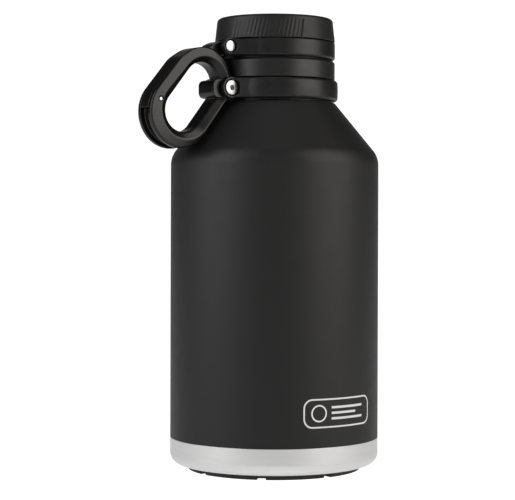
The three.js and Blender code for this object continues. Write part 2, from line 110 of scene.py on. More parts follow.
# What the lower hoop and each cheek leave free at the bottom and the top of their band's height, so that
# no two flat faces share a plane.
HOOP_TRIM, CHEEK_TRIM = (0.13, 0.17), (0.75, 0.65)
UPPER_HOOP_RISE, LIP_SEAT_DEPTH = 0.1, 2.1  # from the collar's top
HEAD_SEAT = 1.2
SCREW_HEAD, RIVET_HEAD = 4.15, 3.1
SHANK_RADIUS, SOCKET_RADIUS, SOCKET_DEPTH = 1.9, 1.75, 2.4
SLEEVE_RADIUS, RIVET_RADIUS, RIVET_RING_RADIUS = 3.0, 1.8, 3.0
NUT_BORE_RADIUS, NUT_BORE_END, NUT_HEAD = 2.2, 7, 1.1
RING_END = 1.2  # from the far ear's outer face
GRIP_PIN_RADIUS = 1.1

# The loop's outlines are circles (u, z, radius) and their common tangents. Its section runs from the
# outer edge over a flat side face and a broad chamfer to the hole.
LOOP_OUTER = {
    "top": (55.2, 224.7, 18.8),
    "crown": (58.2, 222.0, 19.5),
    "low": (70.6, 206.1, 20.4),
    "half": 7.0,
}
LOOP_FACE = {"top": (54.3, 222.3, 16.0), "low": (67.2, 207.5, 16.7), "half": 7.6}
LOOP_HOLE = {"top": (55.0, 223.2, 11.8), "low": (68.2, 207.0, 11.9), "half": 5.2}
HUB = {"inner": 4.4, "outer": 10.6, "below": 5.9, "above": 4.6}  # from the pin's centre
HUB_HALF, HUB_ROUNDING = 7.6, 3.4
LUG_RADIUS, LUG_HALF = 3.6, 5.2
CHANNEL_HALF, CHANNEL_DEPTH = 4.1, 3.0
CHANNEL_SPAN = (3 / 14, 1 + 6 / 15)  # where the channel starts and ends along the outline
EAR_ROOM = 1.3  # round the lower ears, cut into the loop's sides
THROUGH = 12.0  # half length of a tool that cuts right through the loop
INSERT_END_Z = 208.2
INSERT_INNER_U, INSERT_INNER_Z = 72, 212  # below this height, nothing is left nearer the axis than this

KNOB_LEAN = 1.2
KNOB_EDGE = 2.2
KNOB_BORE = 31.6
KNOB_RECESS, KNOB_ROOF = 1.5, 3.6  # below the knob's top
RIBBED_FROM = 32.3  # what is nearer the axis has no ribs
DISC_RADIUS = 27.5
RIB_ZONES = (-134.5, -14.5, 105.5)  # azimuths of the three ribbed zones' centres
RIB_ZONE_WIDTH = 71.0
RIBS_PER_ZONE = 18
RIB_SLANT = math.radians(11.5)
ZONE_DEPTH, RIB_DEPTH, ZONE_GROOVE = 0.08, 0.15, 0.35

MARK_AZIMUTH = -88.5
MARK_Z = 38.0
MARK_SIZE = (48.0, 15.5)
MARK_CORNER = 4.9
MARK_RING = {"x": 9.0, "radius": 4.4}  # x from the frame's left side
MARK_BARS = {"x": 17.0, "lengths": (24, 18, 24), "spacing": 3.1}
THIN_LINE, THICK_LINE = 0.9, 1.3
INK_UP, INK_DOWN = 0.05, -0.05

# ---------------------------------------------------------------- meshes


def add(name, points, faces):
    """A new object from points in millimetres."""
    mesh = bpy.data.meshes.new(name)
    mesh.from_pydata([Vector(p) * MM for p in points], [], faces)
    made = bmesh.new()
    made.from_mesh(mesh)
    bmesh.ops.recalc_face_normals(made, faces=made.faces)
    made.to_mesh(mesh)
    made.free()
    thing = bpy.data.objects.new(name, mesh)
    bpy.context.scene.collection.objects.link(thing)
    return thing


def bake_modifiers(thing):
    """Replaces the object's mesh by what its modifiers make of it."""
    graph = bpy.context.evaluated_depsgraph_get()
    mesh = bpy.data.meshes.new_from_object(thing.evaluated_get(graph))
    thing.modifiers.clear()
    thing.data = mesh


def combine(thing, operation, *tools):
    """Joins the tools to the object or cuts them out of it, and removes them."""
    for tool in tools:
        step = thing.modifiers.new("combine", "BOOLEAN")
        step.operation = operation
        step.solver = "EXACT"
        step.object = tool
        bake_modifiers(thing)
        bpy.data.objects.remove(tool)
    return thing


def melt(thing, voxel, passes):
    """Rebuilds the surface on a fine grid and eases it, so that every edge gets a small moulded radius."""
    grid = thing.modifiers.new("grid", "REMESH")
    grid.mode = "VOXEL"
    grid.voxel_size = voxel * MM
    ease = thing.modifiers.new("ease", "SMOOTH")
    ease.factor = 0.5
    ease.iterations = passes
    bake_modifiers(thing)
    thing.data.shade_smooth()
    return thing


def crisp(thing, angle=40):
    """Smooth shading that keeps true edges, with the large faces setting the normals."""
    thing.data.shade_smooth()
    thing.data.set_sharp_from_angle(angle=math.radians(angle))
    even = thing.modifiers.new("even", "WEIGHTED_NORMAL")
    even.keep_sharp = True
    return thing


def rounded(corners, steps=6):
    """A closed outline from (a, b, radius) corners, each rounded by an arc of that radius."""
    points = []
    count = len(corners)
    for i, (a, b, radius) in enumerate(corners):
        here = Vector((a, b))
        before = Vector(corners[i - 1][:2]) - here
        after = Vector(corners[(i + 1) % count][:2]) - here
        if radius <= 0:
            points.append(here)
            continue
        half = before.angle(after) / 2
        reach = min(radius / math.tan(half), 0.49 * before.length, 0.49 * after.length)
        start = here + before.normalized() * reach
        end = here + after.normalized() * reach
        centre = here + (before.normalized() + after.normalized()).normalized() * (reach / math.cos(half))
        arm, other = start - centre, end - centre
        sweep = arm.angle_signed(other)
        parts = steps * (4 if radius > 5 else 1)
        for k in range(parts + 1):
            turn = -sweep * k / parts
            points.append(centre + Vector((arm.x * math.cos(turn) - arm.y * math.sin(turn),
                                           arm.x * math.sin(turn) + arm.y * math.cos(turn))))
    return points


def lathe(name, outline, steps=192):
    """A solid of revolution about Z from a closed outline of (radius, height)."""
    points = []
    rows = []
    for radius, height in outline:
        first = len(points)
        if radius < 1e-6:
            points.append((0, 0, height))
            rows.append([first] * steps)
        else:
            for k in range(steps):
                turn = 2 * math.pi * k / steps
                points.append((radius * math.cos(turn), radius * math.sin(turn), height))
            rows.append([first + k for k in range(steps)])
    faces = []
    for row, following in zip(rows, rows[1:] + rows[:1]):
        for k in range(steps):
            after = (k + 1) % steps
            corners = [row[k], row[after], following[after], following[k]]
            face = list(dict.fromkeys(corners))
            if len(face) > 2:
                faces.append(face)
    return add(name, points, faces)


def plate(name, outline, low_y, high_y):
    """A plate in the loop's plane from an outline of (u, z). u is the distance from the axis towards -X."""
    count = len(outline)
    points = [(-u, y, z) for y in (low_y, high_y) for u, z in outline]
    faces = [list(range(count)), list(range(count, 2 * count))]
    faces += [[k, (k + 1) % count, count + (k + 1) % count, count + k] for k in range(count)]
    return add(name, points, faces)


def bar(name, u, z, radius, low_y, high_y, steps=72):
    turns = [2 * math.pi * k / steps for k in range(steps)]
    return plate(name, [(u + radius * math.cos(t), z + radius * math.sin(t)) for t in turns], low_y, high_y)


def block(name, u_low, u_high, low_y, high_y, z_low, z_high):
    return plate(name, [(u_low, z_low), (u_high, z_low), (u_high, z_high), (u_low, z_high)], low_y, high_y)


def button(name, u, z, outline, steps=64):
    """A small turned piece about an axis along Y through (u, z), from an outline of (radius, y)."""
    piece = lathe(name, outline, steps)
    for vertex in piece.data.vertices:
        x, y, height = vertex.co
        vertex.co = (x - u * MM, height, y + z * MM)
    piece.data.flip_normals()
    return piece


# ---------------------------------------------------------------- materials


MIX_A, MIX_B, MIX_RESULT = 6, 7, 2  # the Mix node's sockets for colours


def noise(tree, where, scale, detail=3.0):
    node = tree.nodes.new("ShaderNodeTexNoise")
    node.inputs["Scale"].default_value = scale
    node.inputs["Detail"].default_value = detail
    tree.links.new(where, node.inputs["Vector"])
    return node.outputs["Fac"]


def finish(name, tones, roughness, drift, reliefs, stretch=(1, 1, 1), **plain):
    """A Principled material. Its colour moves between two tones and its roughness between two values by
    noise of the drift scale, per metre. Each relief is (scale, depth in metres). stretch sets how dense the
    patterns are along X, Y and Z. The rest are values of the shader's own inputs."""
    made = bpy.data.materials.new(name)
    made.use_nodes = True
    tree = made.node_tree
    shader = tree.nodes["Principled BSDF"]
    for key, value in plain.items():
        shader.inputs[key.replace("_", " ").title().replace("Ior", "IOR")].default_value = value
    place = tree.nodes.new("ShaderNodeTexCoord")
    mapping = tree.nodes.new("ShaderNodeMapping")
    mapping.inputs["Scale"].default_value = stretch
    tree.links.new(place.outputs["Object"], mapping.inputs["Vector"])
    where = mapping.outputs["Vector"]

    patch = noise(tree, where, drift)
    blend = tree.nodes.new("ShaderNodeMix")
    blend.data_type = "RGBA"
    tree.links.new(patch, blend.inputs["Factor"])
    blend.inputs[MIX_A].default_value = (*tones[0], 1)
    blend.inputs[MIX_B].default_value = (*tones[1], 1)
    tree.links.new(blend.outputs[MIX_RESULT], shader.inputs["Base Color"])

    spread = tree.nodes.new("ShaderNodeMapRange")
    spread.inputs["From Min"].default_value = 0.3
    spread.inputs["From Max"].default_value = 0.7
    spread.inputs["To Min"].default_value = roughness[0]
    spread.inputs["To Max"].default_value = roughness[1]
    tree.links.new(noise(tree, where, drift * 2.3, 5.0), spread.inputs["Value"])
    tree.links.new(spread.outputs["Result"], shader.inputs["Roughness"])

    normal = None
    for scale, depth in reliefs:
        bump = tree.nodes.new("ShaderNodeBump")
        bump.inputs["Strength"].default_value = 1.0
        bump.inputs["Distance"].default_value = depth
        tree.links.new(noise(tree, where, scale, 2.0), bump.inputs["Height"])
        if normal:
            tree.links.new(normal, bump.inputs["Normal"])
        normal = bump.outputs["Normal"]
    if normal:
        tree.links.new(normal, shader.inputs["Normal"])
    return made


def grey(value, warmth=0.0):
    return (value * (1 + warmth), value, value * (1 - warmth))


COATING = finish("coating", (grey(0.0085), grey(0.0115)), (0.44, 0.5), 60,
                 [(1500, 2.2e-5), (4200, 8e-6)], specular_ior_level=0.4)
BARE_STEEL = finish("bare_steel_finish", (grey(0.84), grey(0.91)), (0.3, 0.36), 45,
                    [(260, 4e-6)], stretch=(1, 1, 14), metallic=1.0)
PLASTIC = finish("satin_plastic_finish", (grey(0.007), grey(0.01)), (0.36, 0.42), 90,
                 [(2600, 7e-6)])
KNOB_PLASTIC = finish("knob_plastic_finish", (grey(0.009), grey(0.013)), (0.42, 0.48), 90,
                      [(2200, 9e-6)], specular_ior_level=0.38)
BAND_PLASTIC = finish("band_plastic_finish", (grey(0.006), grey(0.008)), (0.34, 0.4), 90,
                      [(2600, 7e-6)], specular_ior_level=0.42)
LOOP_PLASTIC = finish("loop_plastic_finish", (grey(0.003), grey(0.0045)), (0.24, 0.3), 80,
                      [(2400, 6e-6)], specular_ior_level=0.45)
PIN_STEEL = finish("pin_steel_finish", (grey(0.6), grey(0.68)), (0.34, 0.4), 500,
                   [(1800, 2e-6)], metallic=1.0)
FLASK_STEEL = finish("flask_steel_finish", (grey(0.56), grey(0.64)), (0.24, 0.32), 50,
                     [(300, 3e-6)], stretch=(1, 1, 8), metallic=1.0)
RUBBER = finish("rubber_finish", (grey(0.012), grey(0.018)), (0.7, 0.82), 150, [(1600, 2e-5)])
SILICONE = finish("silicone_finish", (grey(0.6, 0.02), grey(0.68, 0.02)), (0.45, 0.55), 120, [(900, 8e-6)])
INNER_PLASTIC = finish("inner_plastic_finish", (grey(0.018), grey(0.024)), (0.42, 0.5), 90, [(2000, 8e-6)])
FOAM = finish("foam_finish", (grey(0.74, 0.03), grey(0.84, 0.03)), (0.88, 0.95), 900, [(1400, 2e-4)])
PELLET = finish("pellet_finish", (grey(0.2), grey(0.3)), (0.6, 0.7), 700, [(2500, 3e-5)], metallic=1.0)
INK = finish("ink_finish", (grey(0.8, 0.012), grey(0.88, 0.012)), (0.5, 0.6), 400, [(3000, 5e-6)])


def hand_over(piece, body, look, slot, *nodes):
    """Gives a finished piece its material and its place in the assembly."""
    piece.data.materials.clear()
    piece.data.materials.append(look)
    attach(piece, body)
    if nodes:
        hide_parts(*nodes)
    return piece


# ---------------------------------------------------------------- flask


def body_corners(inset):
    """The shoulder's fillet and top edge, moved inwards by inset."""
    slope = 1 / math.tan(SHOULDER_LEAN)
    sharp_z = LEDGE_Z - (BODY_RADIUS - SHOULDER_TOP_RADIUS) * slope - inset * math.tan(SHOULDER_LEAN / 2)
    top = LEDGE_Z - inset
    top_radius = BODY_RADIUS - inset - (top - sharp_z) / slope
    return [(BODY_RADIUS - inset, sharp_z, SHOULDER_FILLET - inset), (top_radius, top, SHOULDER_EDGE)]


def build_shell():
    paint_edge = WELD_Z + PAINT_GAP / 2
    corners = [
        (BODY_RADIUS, paint_edge, 0.15),
        *body_corners(0),
        (LEDGE_INNER, LEDGE_Z, 0),
        (LEDGE_INNER, LEDGE_Z - SHELL_WALL, 0),
        *body_corners(SHELL_WALL)[::-1],
        (BODY_RADIUS - SHELL_WALL, paint_edge, 0),
    ]
    shell = crisp(lathe("painted_shell", rounded(corners)))
    hand_over(shell, "flask", COATING, "painted_steel", "outer_shell")


def build_base():
    bottom = low("base_cup").z + BASE_LIFT
    edge = WELD_Z - PAINT_GAP / 2
    corners = [
        (BODY_RADIUS, edge, 0.1),
        (BODY_RADIUS, bottom, BASE_ROUNDING),
        (RECESS_RADIUS, bottom, 0.5),
        (RECESS_RADIUS, RECESS_Z, 0.6),
        (PUMP_HOLE_RADIUS, RECESS_Z, 0.2),
        (PUMP_HOLE_RADIUS, RECESS_Z + SHELL_WALL, 0.2),
        (RECESS_RADIUS + SHELL_WALL, RECESS_Z + SHELL_WALL, 0.3),
        (RECESS_RADIUS + SHELL_WALL, bottom + SHELL_WALL, 0.3),
        (BODY_RADIUS - SHELL_WALL, bottom + SHELL_WALL, BASE_ROUNDING - SHELL_WALL),
        (BODY_RADIUS - SHELL_WALL, edge, 0),
    ]
    hand_over(crisp(lathe("steel_base", rounded(corners))), "flask", BARE_STEEL, "bare_steel", "base_cup")


def build_foot():
    corners = [
        (0, 0, 0),
        (PAD_FOOT_RADIUS, 0, 0.5),
        (PAD_RADIUS - 0.2, 1.8, 0.4),
        (PAD_RADIUS, PAD_EDGE_Z, 0.1),
        (RECESS_RADIUS - CLEARANCE, PAD_EDGE_Z, 0.2),
        (RECESS_RADIUS - CLEARANCE, RECESS_Z - CLEARANCE, 0.2),
        (PAD_POCKET["radius"], RECESS_Z - CLEARANCE, 0.2),
        (PAD_POCKET["radius"], PAD_POCKET["z"], 0.2),
        (0, PAD_POCKET["z"], 0),
    ]
    pad = lathe("rubber_foot", rounded(corners), 240)
    notches = PAD_NOTCH["count"]
    for k in range(notches):
        notch = block("notch", -PAD_RADIUS - 4, -PAD_RADIUS + PAD_NOTCH["depth"], -PAD_NOTCH["half_width"],
                      PAD_NOTCH["half_width"], -1, PAD_NOTCH["height"])
        notch.data.transform(Matrix.Rotation(2 * math.pi * k / notches, 4, "Z"))
        combine(pad, "DIFFERENCE", notch)
    hand_over(crisp(pad), "flask", RUBBER, "foot_rubber", "foot_pad")


def build_collar():
    corners = [
        (COLLAR_INNER, COLLAR_LOW, 0.2),
        (GROOVE_RADIUS, COLLAR_LOW, 0.2),
        (GROOVE_RADIUS, FLANGE_LOW, 0.3),
        (FLANGE_RADIUS, FLANGE_LOW, 0.5),
        (FLANGE_RADIUS, FLANGE_HIGH - FLANGE_CHAMFER, 0.5),
        (FLANGE_RADIUS - FLANGE_CHAMFER, FLANGE_HIGH, 0.4),
        (GROOVE_RADIUS, FLANGE_HIGH, 0.3),
        (GROOVE_RADIUS, COLLAR_HIGH - COLLAR_LIP_ROOT, 0.2),
        (COLLAR_LIP_RADIUS, COLLAR_HIGH - COLLAR_LIP_HEIGHT, 0.2),
        (COLLAR_LIP_RADIUS, COLLAR_HIGH, 0.5),
        (COLLAR_INNER, COLLAR_HIGH, 0.3),
    ]
    collar = crisp(lathe("collar_ring", rounded(corners)))
    hand_over(collar, "flask", PLASTIC, "satin_plastic", "neck_collar")


# ---------------------------------------------------------------- bands


def ear_outline(u, z, radius):
    turns = [math.radians(-90 + 180 * k / 32) for k in range(33)]
    nose = [(u + radius * math.cos(t), z + radius * math.sin(t)) for t in turns]
    return [(BAND_BORE - 2.5, z - radius), *nose, (BAND_BORE - 2.5, z + radius)]


def cheek(size, z_low, z_high):
    """The flat that runs from the near ear's face to where it meets the ring as a tangent."""
    radius, u = size["radius"] - 0.4, size["u"] - 1.0
    reach = math.hypot(u, EAR_OUTER)
    turn = math.atan2(EAR_OUTER, u) + math.acos(radius / reach)
    corners = [(u, EAR_INNER + 0.2), (u, EAR_OUTER), (radius * math.cos(turn), radius * math.sin(turn)),
               (BAND_BORE * math.cos(turn), BAND_BORE * math.sin(turn))]
    points = [(-a, -b, z) for z in (z_low, z_high) for a, b in corners]
    faces = [[0, 1, 2, 3], [4, 5, 6, 7]] + [[k, (k + 1) % 4, 4 + (k + 1) % 4, 4 + k] for k in range(4)]
    return add("cheek", points, faces)


def build_band(name, size, hoop, inside, bore_radius, head_radius):
    u, z = size["u"], size["z"]
    z_low, z_high = low(size["node"]).z, high(size["node"]).z
    band = lathe(name, hoop, 240)
    near = plate("ear", ear_outline(u, z, size["ear"]), -EAR_OUTER, -EAR_INNER)
    far = plate("ear", ear_outline(u, z, size["far_ear"]), EAR_INNER, EAR_OUTER)
    combine(band, "UNION", near, far, cheek(size, z_low + CHEEK_TRIM[0], z_high - CHEEK_TRIM[1]))
    combine(
        band,
        "DIFFERENCE",
        lathe("inside", inside, 240),
        block("opening", BAND_BORE - 10, u + 12, -EAR_INNER, EAR_INNER, z_low - 2, z_high + 2),
        bar("bore", u, z, bore_radius, -EAR_OUTER - 1, EAR_OUTER + 1),
        bar("seat", u, z, head_radius + 2 * CLEARANCE, -EAR_OUTER - 3, -EAR_OUTER + HEAD_SEAT),
        bar("seat", u, z, head_radius + CLEARANCE, EAR_OUTER, EAR_OUTER + 3),
    )
    melt(band, voxel=0.26, passes=3)
    hand_over(band, "loop_carrier", BAND_PLASTIC, "satin_plastic", size["node"])


def build_bands():
    bottom, top = low("lower_band").z + HOOP_TRIM[0], high("lower_band").z - HOOP_TRIM[1]
    radius = LOWER_BAND["radius"]
    bulged = rounded([
        (BAND_BORE - 0.5, bottom, 0),
        (radius - 1.1, bottom, 0.3),
        (radius - 0.2, bottom + 1.2, 1.0),
        (radius, (bottom + top) / 2, 12),
        (radius - 0.2, top - 1.2, 1.0),
        (radius - 1.1, top, 0.3),
        (BAND_BORE - 0.5, top, 0),
    ])
    inside = [(0, bottom - 1), (BAND_BORE, bottom - 1), (BAND_BORE, top + 1), (0, top + 1)]
    build_band("lower_clamp_band", LOWER_BAND, bulged, inside, SLEEVE_RADIUS + CLEARANCE, SCREW_HEAD)

    bottom, top = FLANGE_HIGH + BAND_GAP, COLLAR_HIGH + UPPER_HOOP_RISE
    radius = UPPER_BAND["radius"]
    plain = rounded([
        (BAND_BORE - 0.5, bottom, 0),
        (radius - 0.9, bottom, 0.3),
        (radius, bottom + 1.0, 0.4),
        (radius, top, 0.5),
        (BAND_BORE - 0.5, top, 0),
    ])
    seat_z, seat_radius = COLLAR_HIGH - LIP_SEAT_DEPTH, COLLAR_LIP_RADIUS + CLEARANCE
    inside = [
        (0, bottom - 1),
        (BAND_BORE, bottom - 1),
        (BAND_BORE, seat_z),
        (seat_radius, seat_z),
        (seat_radius, top + 1),
        (0, top + 1),
    ]
    build_band("upper_clamp_band", UPPER_BAND, plain, inside, RIVET_RADIUS + CLEARANCE, RIVET_HEAD)


# ---------------------------------------------------------------- pins and screws


def dome(radius, seat, rim, rise):
    """The outline of a domed head whose flat side is at y = seat and which bulges towards -Y."""
    turns = [k * math.pi / 24 for k in range(12)]
    arc = [(radius * math.cos(t), seat - rim - rise * math.sin(t)) for t in turns]
    return [(0, seat), (radius - 0.15, seat), (radius, seat - 0.15), *arc, (0, seat - rim - rise)]


def build_fasteners():
    seat = -EAR_OUTER + HEAD_SEAT
    screw = button("screw_head", SCREW_U, SCREW_Z, dome(SCREW_HEAD, seat, rim=1.2, rise=0.25))
    shank = bar("shank", SCREW_U, SCREW_Z, SHANK_RADIUS, seat - 0.1, 4)
    combine(screw, "UNION", shank)
    socket = bar("socket", SCREW_U, SCREW_Z, SOCKET_RADIUS, seat - 4, seat + SOCKET_DEPTH, 6)
    combine(screw, "DIFFERENCE", socket)
    hand_over(crisp(screw, 30), "loop_carrier", PIN_STEEL, "pin_steel", "handle_screw")

    far = EAR_OUTER + CLEARANCE
    nut = button("barrel_nut", SCREW_U, SCREW_Z, rounded([
        (NUT_BORE_RADIUS, seat + CLEARANCE, 0.1),
        (SLEEVE_RADIUS, seat + CLEARANCE, 0.1),
        (SLEEVE_RADIUS, far, 0.1),
        (SCREW_HEAD, far, 0.2),
        (SCREW_HEAD, far + NUT_HEAD, 0.4),
        (0, far + NUT_HEAD, 0),
        (0, NUT_BORE_END, 0),
        (NUT_BORE_RADIUS, NUT_BORE_END, 0.1),
    ]))
    slot_cut = block("slot", SCREW_U - 5, SCREW_U + 5, far + 0.6, far + 2, SCREW_Z - 0.5, SCREW_Z + 0.5)
    combine(nut, "DIFFERENCE", slot_cut)
    hand_over(crisp(nut, 30), "loop_carrier", PIN_STEEL, "pin_steel", "handle_nut")

    end = high("upper_rivet").y
    head = dome(RIVET_HEAD, seat, rim=1.1, rise=0.3)
    rivet = button("rivet_pin", RIVET_U, RIVET_Z, [
        (0, end),
        (RIVET_RADIUS - 0.3, end),
        (RIVET_RADIUS, end - 0.3),
        (RIVET_RADIUS, seat),
        *head[1:],
    ])
    hand_over(crisp(rivet, 30), "loop_carrier", PIN_STEEL, "pin_steel", "upper_rivet")

    clip = button("rivet_ring", RIVET_U, RIVET_Z, rounded([
        (RIVET_RADIUS + 0.05, far, 0.1),
        (RIVET_RING_RADIUS, far, 0.2),
        (RIVET_RING_RADIUS, EAR_OUTER + RING_END, 0.3),
        (RIVET_RADIUS + 0.05, EAR_OUTER + RING_END, 0.2),
    ]))
    hand_over(crisp(clip, 30), "loop_carrier", PIN_STEEL, "pin_steel", "rivet_collar")

    half = high("grip_pin").y
    pin = button("grip_cross_pin", GRIP_PIN_U, GRIP_PIN_Z, rounded([
        (0, -half, 0),
        (GRIP_PIN_RADIUS, -half, 0.35),
        (GRIP_PIN_RADIUS, half, 0.35),
        (0, half, 0),
    ]), 40)
    hand_over(crisp(pin, 30), "loop_carrier", PIN_STEEL, "pin_steel", "grip_pin")


# ---------------------------------------------------------------- carrying loop


def tangent_angle(start, end, side):
    """Direction of the outward normal of the straight side between two circles, left (+1) or right (-1)."""
    along = (end[0] - start[0], end[1] - start[1])
    return math.atan2(along[1], along[0]) + side * math.acos((start[2] - end[2]) / math.hypot(*along))


def outline_point(outline, t, grow=0.0):
    """A point of a loop outline: t is 0 to 1 round the low arc, and 1 to 2 back over the crown and top."""
    right = tangent_angle(outline["top"], outline["low"], -1)
    crown = outline.get("crown", outline["top"])
    left = tangent_angle(crown, outline["low"], 1)
    if t <= 1:
        circles, turn = [outline["low"]], right + (left - right) * t
    else:
        circles, turn = [outline["top"], crown], left + (right + 2 * math.pi - left) * (t - 1)
    towards = Vector((math.cos(turn), math.sin(turn)))
    u, z, radius = max(circles, key=lambda circle: Vector(circle[:2]).dot(towards) + circle[2])
    return Vector((u, z)) + towards * (radius + grow)


def stations(count):
    """t values all round an outline, with both ends of each arc."""
    low_arc = [k / count for k in range(count + 1)]
    return low_arc + [1.000001 + 0.999999 * k / count for k in range(count + 1)]


def soft_section(corners, radii, steps=5):
    """The six corners of the loop's section in space, each eased by a short curve."""
    points = []
    count = len(corners)
    for i, here in enumerate(corners):
        before, after = corners[i - 1] - here, corners[(i + 1) % count] - here
        start = here + before.normalized() * radii[i]
        end = here + after.normalized() * radii[i]
        for k in range(steps + 1):
            s = k / steps
            points.append(start * (1 - s) ** 2 + here * 2 * s * (1 - s) + end * s * s)
    return points


def sweep_loop():
    outlines = [LOOP_OUTER, LOOP_FACE, LOOP_HOLE, LOOP_HOLE, LOOP_FACE, LOOP_OUTER]
    sides = [1, 1, 1, -1, -1, -1]
    radii = [1.0, 0.6, 1.2, 1.2, 0.6, 1.0]
    points, faces = [], []
    turns = stations(64)
    for t in turns:
        corners = []
        for outline, side in zip(outlines, sides):
            u, z = outline_point(outline, t)
            corners.append(Vector((-u, side * outline["half"], z)))
        points += soft_section(corners, radii)
    around = len(points) // len(turns)
    for i in range(len(turns)):
        here, following = i * around, (i + 1) % len(turns) * around
        for k in range(around):
            after = (k + 1) % around
            faces.append([here + k, here + after, following + after, following + k])
    return add("loop_frame", points, faces)


def rim_strip(name, half, outside, inside, steps=60):
    first, last = CHANNEL_SPAN
    turns = [first + (last - first) * k / steps for k in range(steps + 1)]
    outer = [outline_point(LOOP_OUTER, t, outside) for t in turns]
    inner = [outline_point(LOOP_OUTER, t, -inside) for t in turns]
    return plate(name, outer + inner[::-1], -half, half)


def build_loop():
    loop = sweep_loop()
    u, z = SCREW_U, SCREW_Z
    hub_outline = rounded([
        (u - HUB["inner"], z - HUB["below"], 0),
        (u + HUB["outer"], z - HUB["below"], HUB_ROUNDING),
        (u + HUB["outer"], z + HUB["above"], HUB_ROUNDING),
        (u - HUB["inner"], z + HUB["above"], 0),
    ], 10)
    hub = plate("hub", hub_outline, -HUB_HALF, HUB_HALF)
    u, z, r = RIVET_U, RIVET_Z, LUG_RADIUS
    lug_outline = rounded([
        (u - r * 0.5, z + r, 2.0),
        (u - r * 1.05, z, 2.0),
        (u - r * 0.4, z - r * 0.95, 2.0),
        (u + 5, z - 9, 0),
        (u + 14, z - 4, 0),
        (u + 8, z + 1, 2),
        (u + 3.4, z + r * 0.8, 2),
    ])
    lug = plate("lug", lug_outline, -LUG_HALF, LUG_HALF)
    combine(loop, "UNION", hub, lug)
    room = LOWER_BAND["ear"] + EAR_ROOM
    groove = [(0, LEDGE_Z), (BAND_BORE, LEDGE_Z), (BAND_BORE, FLANGE_LOW), (0, FLANGE_LOW)]
    combine(
        loop,
        "DIFFERENCE",
        bar("room", SCREW_U, SCREW_Z, room, -THROUGH, -HUB_HALF, 96),
        bar("room", SCREW_U, SCREW_Z, room, HUB_HALF, THROUGH, 96),
        lathe("groove_room", groove),
        rim_strip("channel", CHANNEL_HALF, 1, CHANNEL_DEPTH),
        bar("bore", SCREW_U, SCREW_Z, SLEEVE_RADIUS + CLEARANCE, -THROUGH, THROUGH),
        bar("bore", RIVET_U, RIVET_Z, RIVET_RADIUS + CLEARANCE, -THROUGH, THROUGH),
        bar("bore", GRIP_PIN_U, GRIP_PIN_Z, GRIP_PIN_RADIUS + CLEARANCE, -THROUGH, THROUGH),
    )
    melt(loop, voxel=0.3, passes=3)
    hand_over(loop, "loop_carrier", LOOP_PLASTIC, "loop_plastic", "carry_loop")


def build_insert():
    insert = rim_strip("grip_strip", CHANNEL_HALF - CLEARANCE, 0, CHANNEL_DEPTH - CLEARANCE)
    combine(
        insert,
        "DIFFERENCE",
        block("below", 60, 110, -THROUGH, THROUGH, 180, INSERT_END_Z),
        block("beside", 30, INSERT_INNER_U, -THROUGH, THROUGH, 180, INSERT_INNER_Z),
        bar("bore", GRIP_PIN_U, GRIP_PIN_Z, GRIP_PIN_RADIUS + CLEARANCE, -THROUGH, THROUGH),
    )
    melt(insert, voxel=0.2, passes=4)
    hand_over(insert, "loop_carrier", LOOP_PLASTIC, "loop_plastic", "grip_insert")


# ---------------------------------------------------------------- cap


def smoothstep(x):
    x = max(0.0, min(1.0, x))
    return x * x * (3 - 2 * x)


def rib_depth(azimuth, z):
    """How far the knob's side is pressed in at an azimuth in degrees."""
    lean = math.degrees((z - (KNOB_LOW + KNOB_HIGH) / 2) * math.tan(RIB_SLANT) / KNOB_RADIUS)
    fade = smoothstep((KNOB_HIGH - 1.5 - z) / 3.0)
    for centre in RIB_ZONES:
        away = (azimuth - lean - centre + 180) % 360 - 180
        if abs(away) > RIB_ZONE_WIDTH / 2 + 1:
            continue
        inside = smoothstep((RIB_ZONE_WIDTH / 2 - abs(away)) / 0.8 + 0.5)
        edge = math.exp(-(((away - RIB_ZONE_WIDTH / 2 + 1.2) / 0.9) ** 2))
        wave = 0.5 - 0.5 * math.cos(2 * math.pi * away * RIBS_PER_ZONE / RIB_ZONE_WIDTH)
        return fade * inside * (ZONE_DEPTH + RIB_DEPTH * wave + ZONE_GROOVE * edge)
    return 0.0


